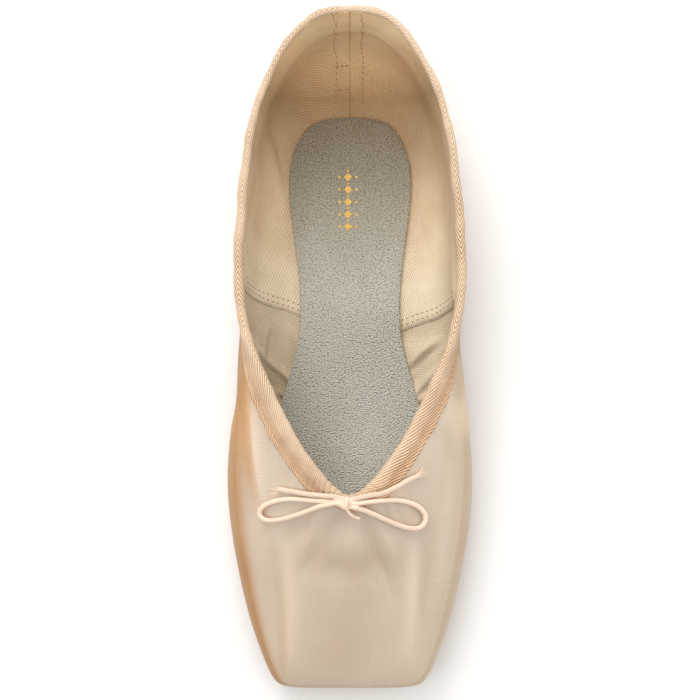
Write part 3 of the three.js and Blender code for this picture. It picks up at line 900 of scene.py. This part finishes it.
share = np.linspace(0, 1, 22)  # from the tape's outer edge up to the fold
below = ((1 - share) * (casing_reach(length) + 0.22 * waver)[:, None]).T
bulge = TAPE_BULGE - 0.55 * smooth(last(around, [1.0])[0, :, 1], 40, 105)  # less at the heel
rise = TAPE_FLAT + (bulge[None, :] - TAPE_FLAT) * smooth(share, 0.3, 0.7)[:, None]
channel = 0.22 * np.exp(-(((share * CASING_OUTSIDE - STITCH_INSET) / 0.45) ** 2))
ruffle = 0.32 * pucker[None, :] * np.sin(math.pi * share)[:, None] ** 2
off = rise - channel[:, None] + ruffle + sway[None, :] * smooth(share, 0.2, 0.6)[:, None]
off += gathers(length)[None, :] * (1 - smooth(share, 0.5, 0.9))[:, None]
outer_leg = beside_edge(around, below, off)

edge = beside_edge(around, np.zeros((1, len(around))), 0)[0]
lower = beside_edge(around, np.full((1, len(around)), 0.5), 0)[0]
rising = (edge - lower) / np.linalg.norm(edge - lower, axis=1, keepdims=True)
facing = outward(around, [1.0])[0]
half_wall = EDGE_WALL / 2
radius = (half_wall + bulge + sway + 0.2 * pucker * gathered)[:, None]
turn = np.linspace(0, math.pi, 11)[1:-1]
ways = [rising * math.sin(t) + facing * math.cos(t) for t in turn]
fold = np.array([edge - facing * half_wall + radius * way for way in ways])

share_in = np.linspace(0, 1, 9)  # from the fold down to the inner edge
below_in = np.repeat((share_in * CASING_INSIDE)[:, None], len(around), axis=1)
tucked = smooth(share_in, 0.35, 1)[:, None]
swaying = sway[None, :] * (1 - share_in[:, None])
inner_off = -(EDGE_WALL + bulge[None, :] * (1 - tucked) + 0.15 * tucked + swaying)
inner_leg = beside_edge(around, below_in, inner_off)
fold_row = len(outer_leg) + len(fold) // 2
section = np.concatenate([outer_leg, fold, inner_leg])
casing = lay_cloth("casing_tape", section, ring=True, middle_row=0.6, zero_row=fold_row)
give_thickness(casing, TAPE_THICK)
finished(casing, tape_twill, "casing", slot="twill")

# %% [markdown]
# Soles are cut from a flat sheet to an outline and skived, which means that the edge is pared
# thin. A plate is laid as a ring: from the spine of its underside out to the edge, up it, and
# back in to the spine of its upper face. The doubled points on both spines are then merged, so
# the plate is closed.

# %% Plates from an outline
SPINE_SHORT = 12  # how far the spine stays from each end


def closed_outline(half, per_point):
    """A smooth closed outline from half of one, and its outward directions."""
    loop = np.array(list(half) + [(-x, y) for x, y in half[-2:0:-1]], float)
    controls = closed_controls(loop)
    at = np.arange(len(loop) * per_point + 1) / per_point
    outline = on_controls(controls, at)
    along = on_controls(controls, at + 0.05) - on_controls(controls, at - 0.05)
    out = np.stack([along[:, 1], -along[:, 0]], axis=1)
    return outline, out / np.linalg.norm(out, axis=1, keepdims=True)


def plate(name, outline, out, layers, height_at):
    """A closed plate. Each layer is (inset, height, share of the way in to the spine)."""
    places = []
    ends = outline[:, 1].min(), outline[:, 1].max()
    middle, half = (ends[0] + ends[1]) / 2, (ends[1] - ends[0]) / 2
    spine_y = middle + (outline[:, 1] - middle) * (1 - SPINE_SHORT / half)
    spine = np.stack([0 * spine_y, spine_y], axis=1)
    for inset, height, share in layers:
        edge = outline - out * inset
        plan = edge + (spine - edge) * share
        places.append(np.column_stack([plan, height_at(plan, height, share)]))
    return lay_cloth(name, np.array(places), ring=True)


# %% [markdown]
# The insole is a board under a sock of grey suede. Suede is matt and its nap scatters light, so
# it gets full roughness. It is painted darker and browner towards the heel, as wear and as
# painted shade under the heel's wall, and paler towards the throat, as painted light under
# the vamp. Its grain is drawn 0.6 mm across, somewhat coarser than real suede's, so that this
# picture can show it.

# %% Insole
INSOLE_THICK = 2.0
SUEDE_GRAIN = 0.6 * MM
# Tones along the insole, toe to heel: painted light towards the throat, and wear with painted shade towards
# the heel.
TRODDEN_AND_PAINTED_LIGHT = ((-45, "#ffffff"), (-17, "#e9e9e8"), (19, "#e1e1e0"), (55, "#d0cdc6"), (85, "#b1a595"))
# x, y from the toe end to the heel end
INSOLE = [
    (0, -107.5), (11, -107), (19, -103.8), (23.6, -96), (26.6, -84), (28.6, -68), (29.2, -52),
    (28.8, -37), (25.9, -23), (22, -10), (18.8, 2), (17.5, 14), (18.3, 29), (20.4, 45),
    (21.6, 59), (20.2, 70), (15.2, 79.4), (8.2, 82.6), (0, 83.5),
]

suede, shader = new_material("grey_suede_napped")
place = node(suede, "ShaderNodeTexCoord").outputs["Object"]
grain = node(
    suede, "ShaderNodeTexVoronoi", {"Vector": place}, {"voronoi_dimensions": "2D"}, Scale=1 / SUEDE_GRAIN
).outputs["Distance"]
nap = node(suede, "ShaderNodeValToRGB", {"Fac": grain}, stops=((0.08, "#efede3"), (0.78, "#bab8ae")))
worn = node(suede, "ShaderNodeTexNoise", {"Vector": place}, Scale=34, Detail=4, Roughness=0.6).outputs["Fac"]
rubbed = node(suede, "ShaderNodeValToRGB", {"Fac": worn}, stops=((0.3, "#f1efea"), (0.7, "#ffffff")))
tone = nap.outputs["Color"]
for shade in (rubbed.outputs["Color"], along_shoe(suede, place, TRODDEN_AND_PAINTED_LIGHT)):
    tone = node(suede, "ShaderNodeMix", {6: tone, 7: shade}, MULTIPLY, Factor=1.0).outputs[2]
bump = node(suede, "ShaderNodeBump", {"Height": grain}, {"invert": True}, Strength=1.0, Distance=0.45 * MM)
fill(suede, shader, {"Base Color": tone, "Normal": bump.outputs["Normal"]}, Roughness=0.95, Sheen_Weight=0.25)

outline, out = closed_outline(INSOLE, 12)


def insole_height(plan, height, share):
    """The seat on the wall that is turned in under the foot, and a top face with soft wear in it."""
    y = plan[:, 1]
    full_wall = BOX_WALL + (QUARTER_WALL - BOX_WALL) * smooth(y, -38, 6)
    seat = bottom_height(y) + OUTSOLE_THICK + GAP + full_wall + GAP
    flat = np.column_stack([plan, 0 * y])
    hollow = -0.35 * np.exp(-((y - 58) / 16) ** 2 - (plan[:, 0] / 14) ** 2)
    wear = (hollow + dents(flat, 7, 0.09)) * (share > 0) * (height > 1)
    return seat + height + wear


shares = np.linspace(0, 1, 15)
layers = [(0.1, 0, share) for share in shares[::-1]]
layers += [(0, 0.25, 0), (0, 1.0, 0), (0.02, INSOLE_THICK - 0.5, 0), (0.16, INSOLE_THICK - 0.16, 0)]
layers += [(0.5, INSOLE_THICK, share) for share in shares]
insole = plate("insole_sock", outline, out, layers, insole_height)
finished(insole, suede, "insole", slot="suede")

# %% [markdown]
# The outsole is tan leather, small and narrow, because the shoe has to point. Its edge is
# skived, and a channel runs round its underside. The upper's pleats are caught under it. The
# smooth grain side looks down.

# %% Outsole
SOLE_CHANNEL = 3.2  # from the edge
CHANNEL_SECTION = [(0.45, 0), (0.15, 0.35), (-0.15, 0.35), (-0.45, 0)]  # to each side of it, height
# the skived edge, from the underside up to the top face: inset from the outline, height
EDGE_SECTION = [
    (1.5, 0), (0.85, 0.02), (0.4, 0.35), (0.05, 0.85), (0, 1.2), (0, 2.1), (0.12, 2.3), (0.4, OUTSOLE_THICK),
]
PORE = MM / 0.9  # 1.1 mm, drawn coarser than the 0.3 mm of real leather

leather, shader = new_material("tan_leather_skived")
place = node(leather, "ShaderNodeTexCoord").outputs["Object"]
pores = node(leather, "ShaderNodeTexVoronoi", {"Vector": place}, Scale=1 / PORE).outputs["Distance"]
clouds = node(leather, "ShaderNodeTexNoise", {"Vector": place}, Scale=45, Detail=6, Roughness=0.62)
cloud = clouds.outputs["Fac"]
tone = node(leather, "ShaderNodeValToRGB", {"Fac": cloud}, stops=((0.32, "#a87c50"), (0.72, "#c9a175")))
bump = node(leather, "ShaderNodeBump", {"Height": pores}, Strength=0.3, Distance=0.1 * MM).outputs["Normal"]
rough = node(leather, "ShaderNodeMapRange", {"Value": cloud}, To_Min=0.5, To_Max=0.72).outputs["Result"]
fill(leather, shader, {"Base Color": tone.outputs["Color"], "Normal": bump, "Roughness": rough})

outline, out = closed_outline([(row[0], row[1]) for row in RIBS], 12)


def outsole_height(plan, height, share):
    return bottom_height(plan[:, 1]) + height


shares = np.linspace(0, 1, 12)[1:]
layers = [(SOLE_CHANNEL + 0.8, 0, share) for share in shares[::-1]]
layers += [(SOLE_CHANNEL + aside, height, 0) for aside, height in CHANNEL_SECTION]
layers += [(inset, height, 0) for inset, height in EDGE_SECTION]
layers += [(3, OUTSOLE_THICK, share) for share in [0, *shares]]
outsole = plate("leather_outsole", outline, out, layers, outsole_height)
finished(outsole, leather, "outsole", slot="leather")

# %% [markdown]
# A stitch is a short bead of thread, half sunk in the cloth. One is modelled from a sphere, and
# a copy with its own mesh is laid at each place of a row. The copies of a row are then joined,
# because a row of stitches is one piece of thread. The thread is tinted dark brown as painted
# shade, for the dark holes where the sunk stitches draw the cloth in.

# %% Stitches
STITCH_SUNK = 0.03  # a bead's middle lies so far under the cloth

thread, shader = new_material("thread_dark_painted_shade")
place = node(thread, "ShaderNodeTexCoord").outputs["Object"]
twist = node(thread, "ShaderNodeTexNoise", {"Vector": place}, Scale=2200, Detail=2).outputs["Fac"]
# Dark brown thread: painted shade of the sunk stitches' holes.
tone = node(thread, "ShaderNodeValToRGB", {"Fac": twist}, stops=((0, "#8c6240"), (1, "#b88a60")))
fill(thread, shader, {"Base Color": tone.outputs["Color"]}, Roughness=0.7)

bpy.ops.object.select_all(action="DESELECT")
bpy.ops.mesh.primitive_uv_sphere_add(segments=8, ring_count=6, radius=0.5)
bead = bpy.context.object
bead.name = "stitch_model"
bpy.ops.object.mode_set(mode="EDIT")
bpy.ops.transform.resize(value=(1, 0.3, 0.24))
bpy.ops.object.mode_set(mode="OBJECT")
bpy.ops.object.shade_smooth()
BEAD = np.array([v.co for v in bead.data.vertices])


def stitch_row(name, route, facing, pitch, length):
    """Stitches along a route in millimetres. facing is the cloth's outward direction along it."""
    far = lengths_along(route)
    count = max(1, int(far[-1] / pitch))
    places = (np.arange(count) + 0.5) * far[-1] / count

    def at(values, d):
        return np.array([np.interp(d, far, values[:, k]) for k in range(3)])

    copies = []
    for d in places:
        start, end, out = at(route, d - 0.4), at(route, d + 0.4), at(facing, d)
        along = (end - start) / np.linalg.norm(end - start)
        out = out / np.linalg.norm(out)
        side = np.cross(out, along)
        turned = np.column_stack([along, side, np.cross(along, side)])
        copied = bpy.data.objects.new(name, bead.data.copy())
        spots = (BEAD * length) @ turned.T + at(route, d) - out * STITCH_SUNK
        copied.data.vertices.foreach_set("co", (spots * MM).ravel())
        bpy.context.collection.objects.link(copied)
        copies.append(copied)
    finished(joined(name, copies), thread, slot="cord")


def cloth_facing(places):
    """The directions in which a laid array faces."""
    normal = np.cross(np.gradient(places, axis=1), np.gradient(places, axis=0))
    return normal / np.linalg.norm(normal, axis=2, keepdims=True)


around = np.linspace(0, ROUND, 700)
far = round_length(around)
below, off = casing_reach(far) - STITCH_INSET, TAPE_FLAT - 0.2 + gathers(far)
stitched = beside_edge(around, below[None, :], off[None, :])[0]
stitch_row("casing_stitches", stitched, outward(around, [0.97])[0], 1.8, 0.8)

facing_in = -cloth_facing(twill_places)
shown = slice(np.searchsorted(up, 0.16), np.searchsorted(up, 0.97))
for side, edge_column in (("right", 0), ("left", -1)):
    far_in = np.abs(columns - columns[edge_column]) * span
    for number, inset in enumerate((0.11, 0.21)):
        column = int(np.argmin(np.abs(far_in - inset)))
        name = f"overlap_stitches_{side}_{number + 1}"
        stitch_row(name, twill_places[shown, column], facing_in[shown, column], 1.9, 1.3)

centre = len(columns) // 2
middle = slice(centre - 22, centre + 23)
seat = slice(np.searchsorted(up, 0.08), np.searchsorted(up, 0.97))


def crossing(x, places, values):
    """The values where a row of places on the centre-back band crosses this x."""
    return [np.interp(-x, -places[:, 0], values[:, k]) for k in range(3)]


for side, x in (("right", 4.2), ("left", -5.2)):
    route, out = [], []
    for places, ways in zip(twill_places[seat, middle], facing_in[seat, middle]):
        z = places[0, 2]
        wander = x + 0.5 * math.sin(z / 3.1) + 0.25 * math.sin(z / 0.9)
        route.append(crossing(wander, places, places))
        out.append(crossing(wander, places, ways))
    stitch_row(f"back_seam_stitches_{side}", np.array(route), np.array(out), 2.0, 1.3)
back = twill_places[:, centre]
for number, y in enumerate((101.5, 93.5)):
    row = int(np.argmin(np.abs(back[:, 1] - y) + 99 * (back[:, 2] > 22)))  # low on the heel's curve
    places, ways = twill_places[row, middle], facing_in[row, middle]
    xs = np.linspace(-5.2 + number, -0.4, 12)
    route, out = (np.array([crossing(x, places, values) for x in xs]) for values in (places, ways))
    stitch_row(f"back_seam_bar_{number + 1}", route, out, 1.5, 1.5)
only(bead)
bpy.ops.object.delete()

# %% [markdown]
# The drawstring is a soft braided cord. A tube is laid as a ring of cloth round its route, its
# ends drawn in to a point, and a few loose fibres splay from each cut tip. The braid is two
# sets of strands that cross, so its relief comes from two slanting waves.

# %% Drawstring bow
CORD = 1.7
BRAID = 1.5  # how far a strand runs in one turn
STRAND = 0.75 * MM  # its width

braided, shader = new_material("peach_cord_braided")
uv = node(braided, "ShaderNodeUVMap", settings={"uv_map": "UVMap"}).outputs["UV"]
ways = []
for angle in (35, -35):
    turned = node(braided, "ShaderNodeMapping", {"Vector": uv}, Rotation=(0, 0, math.radians(angle)))
    wave = node(
        braided, "ShaderNodeTexWave", {"Vector": turned.outputs["Vector"]}, {"bands_direction": "Y"},
        Scale=band(STRAND),
    )
    ways.append(wave.outputs["Fac"])
strands = node(braided, "ShaderNodeMath", {0: ways[0], 1: ways[1]}, {"operation": "MULTIPLY"}).outputs[0]
tone = node(braided, "ShaderNodeValToRGB", {"Fac": strands}, stops=((0, "#efd2b8"), (1, "#fce9d7")))
bump = node(braided, "ShaderNodeBump", {"Height": strands}, Strength=0.7, Distance=0.2 * MM)
links = {"Base Color": tone.outputs["Color"], "Normal": bump.outputs["Normal"]}
fill(braided, shader, links, Roughness=0.8, Sheen_Weight=0.3)


def tube(name, route, radius, sides, relief=0.0):
    """A closed tube along a route in millimetres. radius is one number, or one for each place."""
    along = np.gradient(route, axis=0)
    along /= np.linalg.norm(along, axis=1, keepdims=True)
    across = np.cross([0, 0, 1.0], along)
    across /= np.linalg.norm(across, axis=1, keepdims=True)
    over = np.cross(along, across)
    angle = np.linspace(0, math.tau, sides + 1)
    phase = math.tau * lengths_along(route)[:, None] / BRAID
    braid = np.maximum(np.sin(phase + 3 * angle), np.sin(phase - 3 * angle + 1))
    size = np.broadcast_to(radius, len(route))[:, None] * (1 + relief * (braid - 0.5))
    spokes = np.cos(angle)[None, :, None] * across[:, None] + np.sin(angle)[None, :, None] * over[:, None]
    rings = route[:, None] + size[..., None] * spokes
    first, end = (np.repeat(tip[:, None], sides + 1, 1) for tip in (route[:1], route[-1:]))
    return lay_cloth(name, np.concatenate([first, rings, end]), ring=True)


def fray(name, tip, along, count, seed):
    """Loose fibres at a cut tip, splayed at random but the same at each run."""
    draw = np.random.default_rng(seed)
    made = []
    for _ in range(count):
        spread = draw.normal(size=3) * (0.42, 0.42, 0.25)
        bend = draw.normal(size=3) * 0.35
        f = np.linspace(0, 1, 6)[:, None]
        reach = draw.uniform(1.1, 2.4)
        route = tip - along * 0.7 + spread * 0.9 + f * reach * (along + spread * 0.9) + f**2 * bend
        made.append(tube(name, route, np.linspace(0.13, 0.05, 6), 5))
    return made


for side, route, seed in (("left", ROUTE_LEFT, 7), ("right", ROUTE_RIGHT, 8)):
    shape = np.full(len(route), CORD / 2)
    shape[-4:] = CORD / 2 * np.array([1.04, 1.0, 0.9, 0.7])
    cord = tube(f"drawstring_{side}", route, shape, 24, relief=0.09)
    tip_way = route[-1] - route[-4]
    fibres = fray("fibre", route[-1], tip_way / np.linalg.norm(tip_way), 16, seed)
    fringe = joined(f"frayed_tip_{side}", fibres)
    finished(cord, braided, f"drawstring_loop_{side}", f"drawstring_end_{side}", slot="cord")
    finished(fringe, braided, slot="cord")

# %% [markdown]
# The knot is one tight turn of cord round three strands that cross under it. The strands are
# short tubes that draw together in the middle, and the turn is a ring of tube round them. A
# short fold of the cord shows below it.

# %% Knot
WRAP = {"radius": 0.42, "half_length": 2.1, "half_height": 1.4, "lean": 0.2}
# how far along the shoe each strand lies from the knot's middle, and where it begins across the shoe
STRANDS = ((-1.6, -1.5), (0, -4.2), (1.6, -4.2))
STRAND_RUN = [(-4.2, 1, -0.75), (-2.2, 0.85, -0.35), (0, 0.66, 0), (2.2, 0.85, -0.3), (4.0, 1, -0.65)]
FOLD_TAIL = [
    (-1.0, -52.8, 50.6), (-0.6, -54.2, 50.2), (0.5, -55.4, 49.4), (1.9, -56.2, 48.6), (3.3, -56.5, 48.1),
]

angle = np.linspace(0, math.tau, 49)
ring = np.column_stack([
    KNOT[0] + WRAP["lean"] * np.cos(angle),
    KNOT[1] + WRAP["half_length"] * np.cos(angle),
    KNOT[2] + 0.1 + WRAP["half_height"] * np.sin(angle),
])
along = np.gradient(ring, axis=0)
along[0] = along[-1] = ring[1] - ring[-2]
along /= np.linalg.norm(along, axis=1, keepdims=True)
across = np.array([1.0, 0, 0]) - along * along[:, :1]
across /= np.linalg.norm(across, axis=1, keepdims=True)
over = np.cross(along, across)
spin = np.linspace(0, math.tau, 25)
spokes = 1.3 * np.cos(spin)[None, :, None] * across[:, None] + np.sin(spin)[None, :, None] * over[:, None]
rings = ring[:, None] + WRAP["radius"] * spokes
tail = smooth_route(FOLD_TAIL, CORD_STEP)
turns = [lay_cloth("knot_turn", rings, ring=True), tube("knot_tail", tail, 0.5, 12, relief=0.09)]
for apart, begin in STRANDS:
    shown = [way for way in STRAND_RUN if way[0] > begin - 1.5]
    run = [KNOT + [max(x, begin), apart * near, drop] for x, near, drop in shown]
    turns.append(tube("knot_strand", smooth_route(run, CORD_STEP), 0.85, 16, relief=0.09))
body = smooth_route([KNOT + [x, 0, -0.5] for x in (-5, -2.5, 0, 2, 4)], CORD_STEP)
swell = np.sin(np.linspace(0, math.pi, len(body))) ** 0.7
turns.append(tube("knot_body", body, 0.3 + 1.1 * swell, 20, relief=0.05))
knot = joined("drawstring_wrap", turns)
finished(knot, braided, "drawstring_knot", slot="cord")

# %% [markdown]
# A small foil ornament is stamped on the insole. It is a plain column of lozenges and dots,
# pressed into the suede. Foil is metal, so the shader is metallic, and its wear shows as darker
# clouds.

# %% Foil ornament
ORNAMENT = (-0.7, 53.5)  # its middle on the insole
LOZENGES = 5
LOZENGE_PITCH = 4.4
FOIL_THICK = 0.3
# one step of the column: x, y, radius, corners
MARKS = [(0, 0, 1.5, 4), (0, LOZENGE_PITCH / 2, 0.42, 12), (-3, 0, 0.5, 12), (3, 0, 0.5, 12)]

foil, shader = new_material("gold_foil_stamped")
place = node(foil, "ShaderNodeTexCoord").outputs["Object"]
cloud = node(foil, "ShaderNodeTexNoise", {"Vector": place}, Scale=900, Detail=4).outputs["Fac"]
tone = node(foil, "ShaderNodeValToRGB", {"Fac": cloud}, stops=((0, "#9c7836"), (1, "#d2ae66")))
fill(foil, shader, {"Base Color": tone.outputs["Color"]}, Metallic=0.75, Roughness=0.42)

marks = []
for i in range(LOZENGES):
    middle = ORNAMENT[1] + (i - (LOZENGES - 1) / 2) * LOZENGE_PITCH
    for dx, dy, radius, corners in MARKS:
        x, y = ORNAMENT[0] + dx, middle + dy
        z = insole_height(np.array([[x, y]]), INSOLE_THICK, 0.5)[0]
        bpy.ops.object.select_all(action="DESELECT")
        bpy.ops.mesh.primitive_cylinder_add(
            vertices=corners, radius=radius * MM, depth=FOIL_THICK * MM,
            location=(x * MM, y * MM, (z + 0.02) * MM),
        )
        bpy.ops.object.transform_apply(location=True, rotation=False, scale=False)
        marks.append(bpy.context.object)
finished(joined("foil_ornament", marks), foil)

# %% [markdown]
# The floor is a plain matt white sheet with the faintest mottling.

# %% Floor's finish and the end
paper, shader = new_material("white_paper_matt")
place = node(paper, "ShaderNodeTexCoord").outputs["Object"]
cloud = node(paper, "ShaderNodeTexNoise", {"Vector": place}, Scale=6, Detail=3).outputs["Fac"]
tone = node(paper, "ShaderNodeValToRGB", {"Fac": cloud}, stops=((0, "#f1f1f1"), (1, "#f4f4f4")))
fill(paper, shader, {"Base Color": tone.outputs["Color"]}, Roughness=0.9)
floor.data.materials.append(paper)
